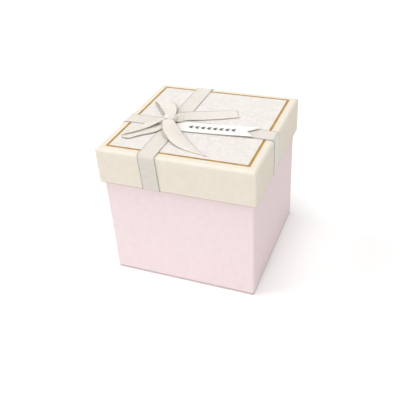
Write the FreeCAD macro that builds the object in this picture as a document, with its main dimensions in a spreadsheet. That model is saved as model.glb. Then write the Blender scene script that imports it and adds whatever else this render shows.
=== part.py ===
import FreeCAD
import Part
import Sketcher
import math
import os
from types import SimpleNamespace

# Gift box: a rigid paper base, a lift-off lid, two flat ribbons and a tied bow with a paper tag.
# Frame: millimetres, +Z up, origin at the middle of the underside, +X right along the front, +Y back.

SIZES = {
    # Overall box
    "lid_width": 130.0,
    "box_height": 120.0,
    "lid_skirt": 30.0,
    "lid_edge_round": 2.5,
    "lid_corner_round": 1.5,
    "base_corner_round": 1.2,
    "lid_slack": 0.9,
    # Board, papers and tape
    "board": 1.5,
    "paper": 0.2,
    "tape": 0.12,
    "glue_line": 0.02,
    "corner_gap": 0.4,
    "stay_leg": 12.0,
    "base_turn_in": 18.0,
    "base_turn_under": 14.0,
    "lid_turn_in": 22.0,
    "bottom_sheet_margin": 2.0,
    "liner_drop": 4.0,
    "liner_margin": 0.6,
    # Printed sheet and gold line on the lid
    "panel_sheet": 0.15,
    "foil": 0.05,
    "foil_margin": 6.5,
    "foil_line": 2.0,
    # Flat ribbons over the lid
    "ribbon_width": 15.0,
    "ribbon_thickness": 0.4,
    "ribbon_gap": 0.05,
    "ribbon_tab": 12.0,
    "ribbon_climb": 3.0,
    "front_back_offset": -21.0,
    "left_right_offset": -9.5,
    # Bow knot, seen from the crossing of the two ribbons
    "bow_shift_x": -3.0,
    "bow_shift_y": 0.5,
    "knot_length": 12.0,
    "knot_width": 10.0,
    "knot_height": 6.2,
    "knot_round": 2.2,
    "knot_turn": -9.0,
    "pad_diameter": 8.0,
    # Bow ribbon where it leaves the knot
    "root_width": 7.0,
    "root_reach": 6.0,
    "root_split": 0.5,
    "pinch_reach": 15.0,
    # Bow loops: each is open along one edge, its mouth, and nearly closed along the other
    "left_loop_mouth_length": 45.5,
    "left_loop_mouth_height": 2.4,
    "left_loop_shut_length": 37.5,
    "left_loop_shut_height": 1.0,
    "left_loop_drop": 3.3,
    "left_loop_turn": 230.0,
    "back_loop_mouth_length": 40.5,
    "back_loop_mouth_height": 2.8,
    "back_loop_shut_length": 38.5,
    "back_loop_shut_height": 2.6,
    "back_loop_drop": 3.3,
    "back_loop_turn": 125.0,
    # Bow tails
    "right_tail_length": 56.5,
    "right_tail_turn": 30.5,
    "right_tail_drop": 1.3,
    "right_tail_rest": 20.0,
    "right_tail_lift": 0.3,
    "tail_clearance": 0.5,
    "front_tail_length": 67.0,
    "front_tail_cut": 34.0,
    "front_tail_turn": -43.0,
    "front_tail_swing": 8.0,
    "front_tail_rise": 1.9,
    "front_tail_rest": 46.0,
    "front_tail_lift": 0.3,
    # Paper tag
    "tag_length": 68.6,
    "tag_width": 16.0,
    "tag_thickness": 0.35,
    "tag_notch": 8.4,
    "tag_skew": 1.9,
    "tag_turn": 4.5,
    "tag_shift_x": 5.5,
    "tag_shift_y": -5.8,
    "tag_flat": 24.0,
    "tag_rise": 0.9,
}

LINE = "line"
ARC = "arc"
DIAGONAL = math.sqrt(0.5)
PATTERN_COPIES = 4
SLIT_REACH = 4

doc = FreeCAD.newDocument("gift_box")
sheet = doc.addObject("Spreadsheet::Sheet", "sizes")


class Size:
    """A length or an angle: its value now, and the sheet expression that drives it."""

    def __init__(self, value, text):
        self.value = value
        self.text = text

    def __add__(self, other):
        other = as_size(other)
        return Size(self.value + other.value, f"({self.text} + {other.text})")

    def __sub__(self, other):
        other = as_size(other)
        return Size(self.value - other.value, f"({self.text} - {other.text})")

    def __mul__(self, factor):
        return Size(self.value * factor, f"({self.text} * {factor})")

    def __truediv__(self, factor):
        return Size(self.value / factor, f"({self.text} / {factor})")

    def __neg__(self):
        return Size(-self.value, f"(0 - {self.text})")


def as_size(value):
    """A plain number becomes a Size that nothing drives."""
    if isinstance(value, Size):
        return value
    return Size(float(value), str(float(value)))


def fill_sheet():
    """Writes every driving size to its own cell and returns the sizes by name."""
    named = {}
    for row, (name, value) in enumerate(SIZES.items(), start=1):
        sheet.set(f"A{row}", name)
        sheet.set(f"B{row}", str(value))
        sheet.setAlias(f"B{row}", name)
        named[name] = Size(value, f"{sheet.Name}.{name}")
    doc.recompute()
    return SimpleNamespace(**named)


# Sketches

def new_body(name):
    """An empty body with its own label."""
    body = doc.addObject("PartDesign::Body", name)
    body.Label = name
    return body


def new_sketch(body, name, role, lift=None):
    """A sketch on one of the body's own origin planes, lifted along the plane's normal."""
    plane = next(feature for feature in body.Origin.OriginFeatures if feature.Role == role)
    sketch = body.newObject("Sketcher::SketchObject", name)
    sketch.AttachmentSupport = [(plane, "")]
    sketch.MapMode = "FlatFace"
    if lift is not None:
        sketch.setExpression("AttachmentOffset.Base.z", lift.text)
    return sketch


def arc_from(start, heading, end):
    """The arc that leaves start along heading and ends at end, and whether it turns left."""
    chord = end - start
    left = FreeCAD.Vector(-heading.y, heading.x, 0)
    reach = chord.dot(chord) / (2 * chord.dot(left))
    centre = start + left * reach
    first = math.atan2(start.y - centre.y, start.x - centre.x)
    last = math.atan2(end.y - centre.y, end.x - centre.x)
    circle = Part.Circle(centre, FreeCAD.Vector(0, 0, 1), abs(reach))
    turns_left = reach > 0
    if turns_left:
        return Part.ArcOfCircle(circle, first, last), turns_left
    return Part.ArcOfCircle(circle, last, first), turns_left


def pin_point(sketch, geometry, position, point):
    """Ties one point of the sketch to the two sizes that place it."""
    for kind, size in (("DistanceX", point[0]), ("DistanceY", point[1])):
        constraint = Sketcher.Constraint(kind, -1, 1, geometry, position, size.value)
        index = sketch.addConstraint(constraint)
        sketch.setExpression(f"Constraints[{index}]", size.text)


def draw_chain(sketch, chain, closed=True):
    """Draws points joined by lines and by arcs, where each arc leaves the run before it tangent.

    A link of the chain is (x, y, kind), and kind says how the point is reached.
    """
    points = [(as_size(x), as_size(y)) for x, y, kind in chain]
    kinds = [kind for x, y, kind in chain]
    count = len(points)
    runs = []
    heading = None
    for index in range(count if closed else count - 1):
        target = (index + 1) % count
        start = FreeCAD.Vector(points[index][0].value, points[index][1].value, 0)
        end = FreeCAD.Vector(points[target][0].value, points[target][1].value, 0)
        chord = (end - start).normalize()
        if kinds[target] == ARC:
            curve, turns_left = arc_from(start, heading, end)
            ends = (1, 2) if turns_left else (2, 1)
            heading = chord * (2 * heading.dot(chord)) - heading
        else:
            curve = Part.LineSegment(start, end)
            ends = (1, 2)
            heading = chord
        geometry = sketch.addGeometry(curve, False)
        if runs:
            before, before_ends = runs[-1]
            joint = "Tangent" if kinds[target] == ARC else "Coincident"
            sketch.addConstraint(Sketcher.Constraint(joint, before, before_ends[1], geometry, ends[0]))
        pin_point(sketch, geometry, ends[0], points[index])
        runs.append((geometry, ends))
    last, last_ends = runs[-1]
    if closed:
        first, first_ends = runs[0]
        sketch.addConstraint(Sketcher.Constraint("Coincident", last, last_ends[1], first, first_ends[0]))
    else:
        pin_point(sketch, last, last_ends[1], points[-1])
    return [f"Edge{index}" for index in range(1, len(runs) + 1)]


def s_bend(start, end):
    """Two equal arcs that carry a run from start to end and leave its heading as it was."""
    middle = ((start[0] + end[0]) / 2, (start[1] + end[1]) / 2)
    return [(middle[0], middle[1], ARC), (end[0], end[1], ARC)]


def rectangle(low_x, low_y, high_x, high_y):
    """A rectangle from its lowest to its highest corner."""
    return [(low_x, low_y, LINE), (high_x, low_y, LINE), (high_x, high_y, LINE), (low_x, high_y, LINE)]


def rounded_rectangle(half_x, half_y, corner):
    """A rectangle about the middle with rounded corners."""
    flat_x = half_x - corner
    flat_y = half_y - corner
    return [
        (-flat_x, -half_y, ARC), (flat_x, -half_y, LINE),
        (half_x, -flat_y, ARC), (half_x, flat_y, LINE),
        (flat_x, half_y, ARC), (-flat_x, half_y, LINE),
        (-half_x, flat_y, ARC), (-half_x, -flat_y, LINE),
    ]


def square(half, corner=None):
    """A square about the middle, with rounded corners where corner is given."""
    if corner is None:
        return rectangle(-half, -half, half, half)
    return rounded_rectangle(half, half, corner)


# Features

def pad(body, name, sketch, length, symmetric=False):
    """Pads a sketch by a length, upwards or to both sides."""
    feature = body.newObject("PartDesign::Pad", name)
    feature.Profile = sketch
    feature.setExpression("Length", length.text)
    if symmetric:
        feature.SideType = "Symmetric"
    return feature


def pad_ring(body, name, outer, inner, low, high):
    """Pads the band between two outlines from one height to another."""
    sketch = new_sketch(body, f"{name}_outline", "XY_Plane", low)
    draw_chain(sketch, outer)
    if inner is not None:
        draw_chain(sketch, inner)
    return pad(body, name, sketch, high - low)


def cut_through(body, name, sketch):
    """Cuts a sketch right through the body, to both sides of its plane."""
    doc.recompute()
    before = body.Shape.Volume
    feature = body.newObject("PartDesign::Pocket", name)
    feature.Profile = sketch
    feature.Type = "ThroughAll"
    feature.SideType = "Symmetric"
    doc.recompute()
    if body.Shape.Volume >= before:
        raise RuntimeError(f"{name} cuts nothing")
    return feature


def repeat_round(body, name, feature):
    """Repeats a feature at the four corners, about the body's upright axis."""
    axis = next(item for item in body.Origin.OriginFeatures if item.Role == "Z_Axis")
    pattern = body.newObject("PartDesign::PolarPattern", name)
    pattern.Originals = [feature]
    pattern.Axis = (axis, [""])
    pattern.Angle = 360
    pattern.Occurrences = PATTERN_COPIES
    body.Tip = pattern
    return pattern


def place(item, x, y, z, turn=None):
    """Places an object by sizes, turned about the upright axis."""
    turn = as_size(0) if turn is None else turn
    spot = f"vector({as_size(x).text}; {as_size(y).text}; {as_size(z).text})"
    item.setExpression("Placement", f"placement({spot}; rotationz({turn.text}))")


def block(name, half, low, high):
    """A plain square block about the upright axis, from one height to another."""
    item = doc.addObject("Part::Box", name)
    item.setExpression("Length", (half * 2).text)
    item.setExpression("Width", (half * 2).text)
    item.setExpression("Height", (high - low).text)
    place(item, -half, -half, low)
    doc.recompute()
    return item


def rounded_block(name, half_x, half_y, low, high, top_round, corner_round):
    """A block with rounded top edges and, of their own radius, rounded upright edges.

    It is what two loaf shapes, one along each side, and a rounded upright prism have in common.
    """
    shapes = []
    for role, half, reach in (("XZ_Plane", half_x, half_y), ("YZ_Plane", half_y, half_x)):
        shoulder = half - top_round
        loaf = [
            (-half, low, LINE), (half, low, LINE), (half, high - top_round, LINE), (shoulder, high, ARC),
            (-shoulder, high, LINE), (-half, high - top_round, ARC),
        ]
        body = new_body(f"{name}_{role}")
        sketch = new_sketch(body, f"{name}_{role}_loaf", role)
        draw_chain(sketch, loaf)
        pad(body, f"{name}_{role}_run", sketch, reach * 2, symmetric=True)
        shapes.append(body)
    prism = new_body(f"{name}_upright")
    outline = rounded_rectangle(half_x, half_y, corner_round)
    pad_ring(prism, f"{name}_prism", outline, None, low, high)
    shapes.append(prism)
    doc.recompute()
    rounded = doc.addObject("Part::MultiCommon", name)
    rounded.Shapes = shapes
    rounded.Refine = True
    rounded.Label = name
    return rounded


def cut(name, base, tool):
    """What is left of base once tool is taken away."""
    item = doc.addObject("Part::Cut", name)
    item.Base = base
    item.Tool = tool
    item.Label = name
    return item


# Paper and board

def corner_stays(name, half, corner, low, high):
    """Four tape angles that hold the butted corners of a folded board, inside its covering paper."""
    body = new_body(name)
    outer = half - d.glue_line
    inner = outer - d.tape
    flat = half - corner
    leg = half - d.stay_leg
    angle = [
        (outer, leg, LINE), (outer, flat, LINE), (flat, outer, ARC), (leg, outer, LINE),
        (leg, inner, LINE), (flat, inner, LINE), (inner, flat, ARC), (inner, leg, LINE),
    ]
    stay = pad_ring(body, f"{name}_angle", angle, None, low, high)
    repeat_round(body, f"{name}_corners", stay)
    return body


def open_corners(body, name, inner, outer, low, high):
    """Parts the walls of a folded board at its four corners by the butt gap."""
    sideways = d.corner_gap * (DIAGONAL / 2)
    near = inner - d.corner_gap
    far = outer + d.corner_gap
    slit = [
        (near + sideways, near - sideways, LINE), (far + sideways, far - sideways, LINE),
        (far - sideways, far + sideways, LINE), (near - sideways, near + sideways, LINE),
    ]
    sketch = new_sketch(body, f"{name}_outline", "XY_Plane", low)
    draw_chain(sketch, slit)
    doc.recompute()
    before = body.Shape.Volume
    feature = body.newObject("PartDesign::Pocket", name)
    feature.Profile = sketch
    feature.Reversed = True
    feature.setExpression("Length", (high - low).text)
    repeat_round(body, f"{name}_corners", feature)
    doc.recompute()
    if body.Shape.Volume >= before:
        raise RuntimeError(f"{name} cuts nothing")


def base_board():
    """Greyboard tray, one scored blank with its four walls folded up."""
    body = new_body("base_board")
    corner = d.base_corner_round - base.skin
    pad_ring(body, "base_blank", square(base.board, corner), None, base.board_low, base.floor)
    walls = square(base.board, corner)
    pad_ring(body, "base_walls", walls, square(base.board_inner), base.floor, base.board_high)
    open_corners(body, "base_corner", base.board_inner, base.board, base.floor, base.board_high)
    return body


def base_wrap():
    """Pink covering paper: turned under the bottom, up the walls, over the rim and down inside."""
    body = new_body("base_wrap")
    outer = square(base.half, d.base_corner_round)
    inner = square(base.half - d.paper, d.base_corner_round - d.paper)
    turned = base.board_inner - d.glue_line
    under = square(base.half - d.base_turn_under)
    rim_low = base.high - d.paper
    pad_ring(body, "base_outside", outer, inner, base.wrap_low, base.high)
    pad_ring(body, "base_turn_under_band", outer, under, base.wrap_low, base.wrap_low + d.paper)
    pad_ring(body, "base_rim", outer, square(turned - d.paper), rim_low, base.high)
    turn_in_low = base.high - d.base_turn_in
    pad_ring(body, "base_turn_in_band", square(turned), square(turned - d.paper), turn_in_low, base.high)
    return body


def base_papers():
    """The pasted sheet on the underside and the two lining papers inside."""
    bottom = new_body("base_bottom_sheet")
    sheet_half = base.half - d.bottom_sheet_margin
    pad_ring(bottom, "bottom_paper", square(sheet_half), None, as_size(0), d.paper)
    wall = new_body("base_wall_liner")
    liner_top = base.high - d.liner_drop
    lining = square(base.liner)
    pad_ring(wall, "wall_paper", lining, square(base.inside), base.floor + d.glue_line, liner_top)
    floor = new_body("base_floor_liner")
    floor_low = base.floor + d.glue_line
    floor_outline = square(base.inside - d.liner_margin)
    pad_ring(floor, "floor_paper", floor_outline, None, floor_low, floor_low + d.paper)
    return [bottom, wall, floor]


def lid_board():
    """Greyboard lid, one scored blank folded down, its top edge pressed round under the paper."""
    top_round = d.lid_edge_round - lid.skin
    corner = d.lid_corner_round - lid.skin
    outside = rounded_block(
        "lid_board_outside", lid.board, lid.board, lid.board_low, lid.board_high, top_round, corner)
    inside = block("lid_board_inside", lid.board_inner, lid.low, lid.board_under)
    tray = cut("lid_board_tray", outside, inside)
    slits = []
    start = lid.board_inner - d.corner_gap
    sideways = d.corner_gap * (DIAGONAL / 2)
    for index, (across, along) in enumerate(((1, 1), (-1, 1), (-1, -1), (1, -1))):
        slit = doc.addObject("Part::Box", f"lid_corner_slit_{index}")
        slit.setExpression("Length", ((d.board + d.corner_gap) * SLIT_REACH).text)
        slit.setExpression("Width", d.corner_gap.text)
        slit.setExpression("Height", (lid.board_under - lid.low).text)
        turn = math.degrees(math.atan2(along, across))
        x = start * across + sideways * along
        y = start * along - sideways * across
        place(slit, x, y, lid.low, as_size(turn))
        slits.append(slit)
    gaps = doc.addObject("Part::Compound", "lid_corner_slits")
    gaps.Links = slits
    return cut("lid_board", tray, gaps)


def lid_wrap():
    """Cream covering paper over the lid top and skirt, turned in at the lower edge."""
    outside = rounded_block(
        "lid_wrap_outside", lid.half, lid.half, lid.low, lid.high, d.lid_edge_round, d.lid_corner_round)
    inner = lid.half - d.paper
    space = rounded_block(
        "lid_wrap_space", inner, inner, lid.low + d.paper, lid.high - d.paper,
        d.lid_edge_round - d.paper, d.lid_corner_round - d.paper)
    shell = cut("lid_wrap_shell", outside, space)
    mouth = block("lid_wrap_mouth", lid.inside, lid.low - d.paper, lid.low + d.paper * 2)
    skirt = cut("lid_wrap_skirt", shell, mouth)
    turn_high = lid.low + d.lid_turn_in
    turn_outside = block("lid_turn_in_outside", lid.inside + d.paper, lid.low, turn_high)
    turn_inside = block("lid_turn_in_inside", lid.inside, lid.low - d.paper, turn_high + d.paper)
    turn_in = cut("lid_turn_in_band", turn_outside, turn_inside)
    wrap = doc.addObject("Part::Fuse", "lid_wrap")
    wrap.Base = skirt
    wrap.Tool = turn_in
    wrap.Refine = True
    return wrap


def lid_papers():
    """The lining under the lid top, the printed sheet on it and the gold line round that sheet."""
    liner = new_body("lid_top_liner")
    liner_half = lid.board_inner - d.liner_margin
    pad_ring(liner, "top_lining", square(liner_half), None, base.high, base.high + d.paper)
    panel = new_body("lid_panel_sheet")
    panel_half = lid.half - d.foil_margin
    panel_high = lid.high + d.panel_sheet
    pad_ring(panel, "printed_sheet", square(panel_half), None, lid.high, panel_high)
    border = new_body("lid_foil_border")
    line = square(panel_half - d.foil_line)
    pad_ring(border, "gold_line", square(panel_half), line, panel_high, panel_high + d.foil)
    return [liner, panel, border]


# Ribbons

def sweep(body, path, edges, section):
    """Carries a section along a path of lines and arcs."""
    doc.recompute()
    pipe = body.newObject("PartDesign::AdditivePipe", f"{body.Name}_sweep")
    pipe.Profile = section
    pipe.Spine = (path, edges)
    doc.recompute()
    return pipe


def strap(name, role, crossing=None):
    """Flat ribbon over the lid, down two sides of the skirt and turned in round its lower edge.

    Where it crosses over the other ribbon, crossing is that ribbon's place along this one.
    """
    body = new_body(name)
    half_thick = d.ribbon_thickness / 2
    lay = d.ribbon_gap + half_thick
    outside = lid.half + lay
    inside = lid.inside - lay
    under = lid.low - lay
    top = lid.lay + half_thick
    fold = d.lid_edge_round + lay
    tab_high = lid.low + d.ribbon_tab
    chain = [
        (-inside, tab_high, LINE), (-inside, lid.low, LINE),
        (-inside - lay, under, ARC), (-outside + lay, under, LINE),
        (-outside, lid.low, ARC), (-outside, top - fold, LINE),
        (-outside + fold, top, ARC),
    ]
    if crossing is not None:
        reach = d.ribbon_width / 2 + d.ribbon_climb / 2
        raised = top + d.ribbon_thickness + d.ribbon_gap
        up_start = crossing - reach - d.ribbon_climb
        up_end = crossing - reach
        down_start = crossing + reach
        down_end = crossing + reach + d.ribbon_climb
        chain.append((up_start, top, LINE))
        chain += s_bend((up_start, top), (up_end, raised))
        chain.append((down_start, raised, LINE))
        chain += s_bend((down_start, raised), (down_end, top))
    chain += [
        (outside - fold, top, LINE), (outside, top - fold, ARC), (outside, lid.low, LINE),
        (outside - lay, under, ARC), (inside + lay, under, LINE),
        (inside, lid.low, ARC), (inside, tab_high, LINE),
    ]
    path = new_sketch(body, f"{name}_path", role)
    edges = draw_chain(path, chain, closed=False)
    section = new_sketch(body, f"{name}_section", "XY_Plane", tab_high)
    across = d.ribbon_width / 2
    near = -inside - half_thick
    far = -inside + half_thick
    if role == "XZ_Plane":
        draw_chain(section, rectangle(near, -across, far, across))
    else:
        draw_chain(section, rectangle(-across, near, across, far))
    sweep(body, path, edges, section)
    return body


def strip(name, chain, width, thickness):
    """A strip of one width that follows a path drawn sideways on, from its start outwards."""
    body = new_body(name)
    path = new_sketch(body, f"{name}_path", "XZ_Plane")
    edges = draw_chain(path, chain, closed=False)
    section = new_sketch(body, f"{name}_section", "YZ_Plane", as_size(chain[0][0]))
    start = as_size(chain[0][1])
    half = thickness / 2
    draw_chain(section, rectangle(-width / 2, start - half, width / 2, start + half))
    sweep(body, path, edges, section)
    return body


def trim(body, plan, low_x, high_x):
    """Cuts away all of a strip that lies outside its outline seen from above."""
    sketch = new_sketch(body, f"{body.Name}_plan", "XY_Plane")
    margin = d.ribbon_width * 2
    draw_chain(sketch, rectangle(low_x - margin, -margin, high_x + margin, margin))
    draw_chain(sketch, plan)
    cut_through(body, f"{body.Name}_trim", sketch)


def pinched_plan(length, cut_back=None, swing=None):
    """Ribbon seen from above: gathered at the knot, full width further out, cut off at its end.

    The slanted end is shorter by cut_back on one edge, and swing sets the ribbon over to that side.
    """
    root = d.root_width / 2
    swing = as_size(0) if swing is None else swing
    high = d.ribbon_width / 2 - swing
    low = -d.ribbon_width / 2 - swing
    short = length if cut_back is None else length - cut_back
    back = -d.root_reach
    plan = [(back, -root, LINE), (d.root_reach, -root, LINE)]
    plan += s_bend((d.root_reach, -root), (d.pinch_reach, low))
    plan += [(short, low, LINE), (length, high, LINE), (d.pinch_reach, high, LINE)]
    plan += s_bend((d.pinch_reach, high), (d.root_reach, root))
    plan.append((back, root, LINE))
    return plan


def into_knot(name, ribbon, knot, turn):
    """Sets a bow ribbon at the knot's middle and ends it where it enters the knot."""
    place(ribbon, bow.x, bow.y, bow.middle, turn)
    doc.recompute()
    return cut(name, ribbon, knot)


def loop_edge(length, height, drop):
    """One edge of a loop, sideways on: out of the knot, round the tip and back, one ribbon thick."""
    half = d.ribbon_thickness / 2
    low = -drop
    high = low + height
    middle = low + height / 2
    bend = length - height / 2
    start = d.root_reach / 2
    root = d.root_reach
    upper = d.root_split
    lower = -d.root_split
    return [
        (start, upper + half, LINE), (root, upper + half, LINE), (bend, high + half, LINE),
        (length + half, middle, ARC), (bend, low - half, ARC), (root, lower - half, LINE),
        (start, lower - half, LINE), (start, lower + half, LINE), (root, lower + half, LINE),
        (bend, low + half, LINE), (length - half, middle, ARC), (bend, high - half, ARC),
        (root, upper - half, LINE), (start, upper - half, LINE),
    ]


def bow_loop(name, knot, mouth, shut, drop, turn):
    """One loop, lofted from its open edge to its nearly closed one and gathered at the knot.

    The two edges, mouth and shut, are each given as (length, height).
    """
    body = new_body(f"{name}_ribbon")
    across = d.ribbon_width / 2
    open_edge = new_sketch(body, f"{name}_mouth", "XZ_Plane", -across)
    draw_chain(open_edge, loop_edge(mouth[0], mouth[1], drop))
    shut_edge = new_sketch(body, f"{name}_shut", "XZ_Plane", across)
    draw_chain(shut_edge, loop_edge(shut[0], shut[1], drop))
    doc.recompute()
    loft = body.newObject("PartDesign::AdditiveLoft", f"{name}_loft")
    loft.Profile = open_edge
    loft.Sections = [shut_edge]
    loft.Ruled = True
    doc.recompute()
    reach = mouth[0] + d.ribbon_width
    trim(body, pinched_plan(reach), as_size(0), reach)
    return into_knot(name, body, knot, turn)


def bow_knot():
    """The knot: a small pillow of wrapped ribbon, flat underneath."""
    pillow = rounded_block(
        "bow_knot", d.knot_length / 2, d.knot_width / 2, -d.knot_height / 2, d.knot_height / 2,
        d.knot_round, d.knot_round)
    place(pillow, bow.x, bow.y, bow.middle, d.knot_turn)
    doc.recompute()
    return pillow


def bow_glue_pad():
    """Adhesive pad between the crossing of the ribbons and the knot."""
    body = new_body("bow_glue_pad")
    sketch = new_sketch(body, "pad_outline", "XY_Plane")
    circle = Part.Circle(FreeCAD.Vector(0, 0, 0), FreeCAD.Vector(0, 0, 1), d.pad_diameter.value / 2)
    geometry = sketch.addGeometry(circle, False)
    sketch.addConstraint(Sketcher.Constraint("Coincident", geometry, 3, -1, 1))
    index = sketch.addConstraint(Sketcher.Constraint("Diameter", geometry, d.pad_diameter.value))
    sketch.setExpression(f"Constraints[{index}]", d.pad_diameter.text)
    pad(body, "pad_disc", sketch, bow.under - bow.crossing_top)
    place(body, bow.x, bow.y, bow.crossing_top)
    return body


def right_tail(knot):
    """Ribbon end that leaves to the right, dips over the tag and is cut square."""
    length = d.right_tail_length
    half = d.ribbon_thickness / 2
    over_tag = bow.tag_top + d.tail_clearance + half - bow.middle
    end_height = lid.lay + d.right_tail_lift + half - bow.middle
    start = d.root_reach / 2
    leave = (d.root_reach, -d.right_tail_drop)
    rest = (d.right_tail_rest, over_tag)
    lie = (length - d.root_reach, end_height)
    chain = [(start, -d.right_tail_drop, LINE), (leave[0], leave[1], LINE)]
    chain += s_bend(leave, rest)
    chain += s_bend(rest, lie)
    chain.append((length, end_height, LINE))
    ribbon = strip("bow_tail_right_ribbon", chain, d.ribbon_width, d.ribbon_thickness)
    trim(ribbon, pinched_plan(length), start, length)
    return into_knot("bow_tail_right", ribbon, knot, d.right_tail_turn)


def front_tail(knot):
    """Ribbon end that leaves the knot to the front, swings to the right and has a long slanted cut."""
    length = d.front_tail_length
    end_height = lid.lay + d.front_tail_lift + d.ribbon_thickness / 2 - bow.middle
    start = d.root_reach / 2
    leave = (d.root_reach, d.front_tail_rise)
    lie = (d.front_tail_rest, end_height)
    chain = [(start, d.front_tail_rise, LINE), (leave[0], leave[1], LINE)]
    chain += s_bend(leave, lie)
    chain.append((length, end_height, LINE))
    swung_width = d.ribbon_width + d.front_tail_swing * 2
    ribbon = strip("bow_tail_front_ribbon", chain, swung_width, d.ribbon_thickness)
    trim(ribbon, pinched_plan(length, d.front_tail_cut, d.front_tail_swing), start, length)
    return into_knot("bow_tail_front", ribbon, knot, d.front_tail_turn)


def gift_tag():
    """Paper tag with a swallow-tail end, its root held between the crossing and the knot."""
    length = d.tag_length
    reach = length + d.tag_skew
    half = d.tag_width / 2
    flat = (d.tag_flat, as_size(0))
    chain = [(as_size(0), as_size(0), LINE), (flat[0], flat[1], LINE)]
    chain += s_bend(flat, (reach, d.tag_rise))
    body = strip("gift_tag", chain, d.tag_width, d.tag_thickness)
    plan = [
        (-half, -half, LINE), (length - d.tag_skew, -half, LINE), (length - d.tag_notch, as_size(0), LINE),
        (reach, half, LINE), (-half, half, LINE),
    ]
    trim(body, plan, -half, reach)
    place(body, bow.x + d.tag_shift_x, bow.y + d.tag_shift_y, bow.tag_low + d.tag_thickness / 2, d.tag_turn)
    return body


# Places that the pieces share

def lid_places():
    """Widths and heights of the lid's layers."""
    here = SimpleNamespace()
    here.half = d.lid_width / 2
    here.high = d.box_height
    here.low = d.box_height - d.lid_skirt
    here.skin = d.paper + d.tape + d.glue_line * 2
    here.board = here.half - here.skin
    here.board_inner = here.board - d.board
    here.inside = here.board_inner - d.glue_line - d.paper
    here.board_high = here.high - d.paper - d.glue_line
    here.board_under = here.board_high - d.board
    here.board_low = here.low + d.paper + d.glue_line
    here.lay = here.high + d.panel_sheet + d.foil
    return here


def base_places():
    """Widths and heights of the base's layers: its rim carries the lid's lining."""
    here = SimpleNamespace()
    here.half = lid.inside - d.lid_slack
    here.high = lid.board_under - d.glue_line - d.paper
    here.skin = d.paper + d.tape + d.glue_line * 2
    here.board = here.half - here.skin
    here.board_inner = here.board - d.board
    here.wrap_low = d.paper + d.glue_line
    here.board_low = here.wrap_low + d.paper + d.glue_line
    here.floor = here.board_low + d.board
    here.board_high = here.high - d.paper - d.glue_line
    here.liner = here.board_inner - d.glue_line * 2 - d.paper
    here.inside = here.liner - d.paper
    return here


def bow_places():
    """Where the bow sits: over the crossing, with the tag's root between it and the ribbons."""
    here = SimpleNamespace()
    here.x = d.front_back_offset + d.bow_shift_x
    here.y = d.left_right_offset + d.bow_shift_y
    here.crossing_top = lid.lay + d.ribbon_thickness * 2 + d.ribbon_gap
    here.tag_low = here.crossing_top + d.ribbon_gap
    here.tag_top = here.tag_low + d.tag_thickness
    here.under = here.tag_top + d.ribbon_gap
    here.middle = here.under + d.knot_height / 2
    return here


d = fill_sheet()
lid = lid_places()
base = base_places()
bow = bow_places()


def build():
    """Makes every sub-part and returns them in order."""
    base_stays = corner_stays(
        "base_corner_stays", base.half - d.paper, d.base_corner_round - d.paper,
        base.board_low, base.board_high)
    lid_stays = corner_stays(
        "lid_corner_stays", lid.half - d.paper, d.lid_corner_round - d.paper,
        lid.board_low, lid.board_high - d.lid_edge_round)
    across = strap("ribbon_left_right", "XZ_Plane", d.front_back_offset)
    place(across, 0, d.left_right_offset, 0)
    along = strap("ribbon_front_back", "YZ_Plane")
    place(along, d.front_back_offset, 0, 0)
    knot = bow_knot()
    left = bow_loop(
        "bow_loop_left", knot, (d.left_loop_mouth_length, d.left_loop_mouth_height),
        (d.left_loop_shut_length, d.left_loop_shut_height), d.left_loop_drop, d.left_loop_turn)
    back = bow_loop(
        "bow_loop_back", knot, (d.back_loop_mouth_length, d.back_loop_mouth_height),
        (d.back_loop_shut_length, d.back_loop_shut_height), d.back_loop_drop, d.back_loop_turn)
    return [
        base_board(), base_stays, base_wrap(), *base_papers(),
        lid_board(), lid_stays, lid_wrap(), *lid_papers(),
        along, across, bow_glue_pad(), knot, left, back, right_tail(knot), front_tail(knot), gift_tag(),
    ]


def check(parts):
    """Stops the build where an object failed or a sub-part has no sound solid."""
    for item in doc.Objects:
        if "Invalid" in item.State or "Error" in item.State:
            raise RuntimeError(f"{item.Label} failed: {item.State}")
    for part in parts:
        if part.Shape.isNull() or not part.Shape.isValid() or not part.Shape.Solids:
            raise RuntimeError(f"{part.Label} has no sound solid")


def export(parts):
    """Writes each sub-part to a file named for it."""
    os.makedirs("parts", exist_ok=True)
    for part in parts:
        part.Shape.exportStep(os.path.join("parts", f"{part.Label}.step"))
        box = part.Shape.BoundBox
        spans = ((box.XMin, box.XMax), (box.YMin, box.YMax), (box.ZMin, box.ZMax))
        reach = ", ".join(f"{low:.2f} to {high:.2f}" for low, high in spans)
        print(f"{part.Label}: solids {len(part.Shape.Solids)}, {part.Shape.Volume:.1f} mm3, {reach}")


parts = build()
doc.recompute()
check(parts)
export(parts)
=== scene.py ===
"""Looks of a square paper gift box with a lift-off lid, flat ribbons, a bow and a paper tag.

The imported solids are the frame. Boards, linings, the top sheet, the foil line and the glue pad keep
their solids and get finishes; the covering papers, the ribbons, the bow and the tag are built here.
Sizes of pieces and the camera's place are in millimetres until they are used; finishes and the floor
are in metres.
"""

import logging
import math
from dataclasses import dataclass
from enum import Enum
from typing import Protocol, Sequence

import bpy
import numpy as np
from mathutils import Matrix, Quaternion, Vector, noise


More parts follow.
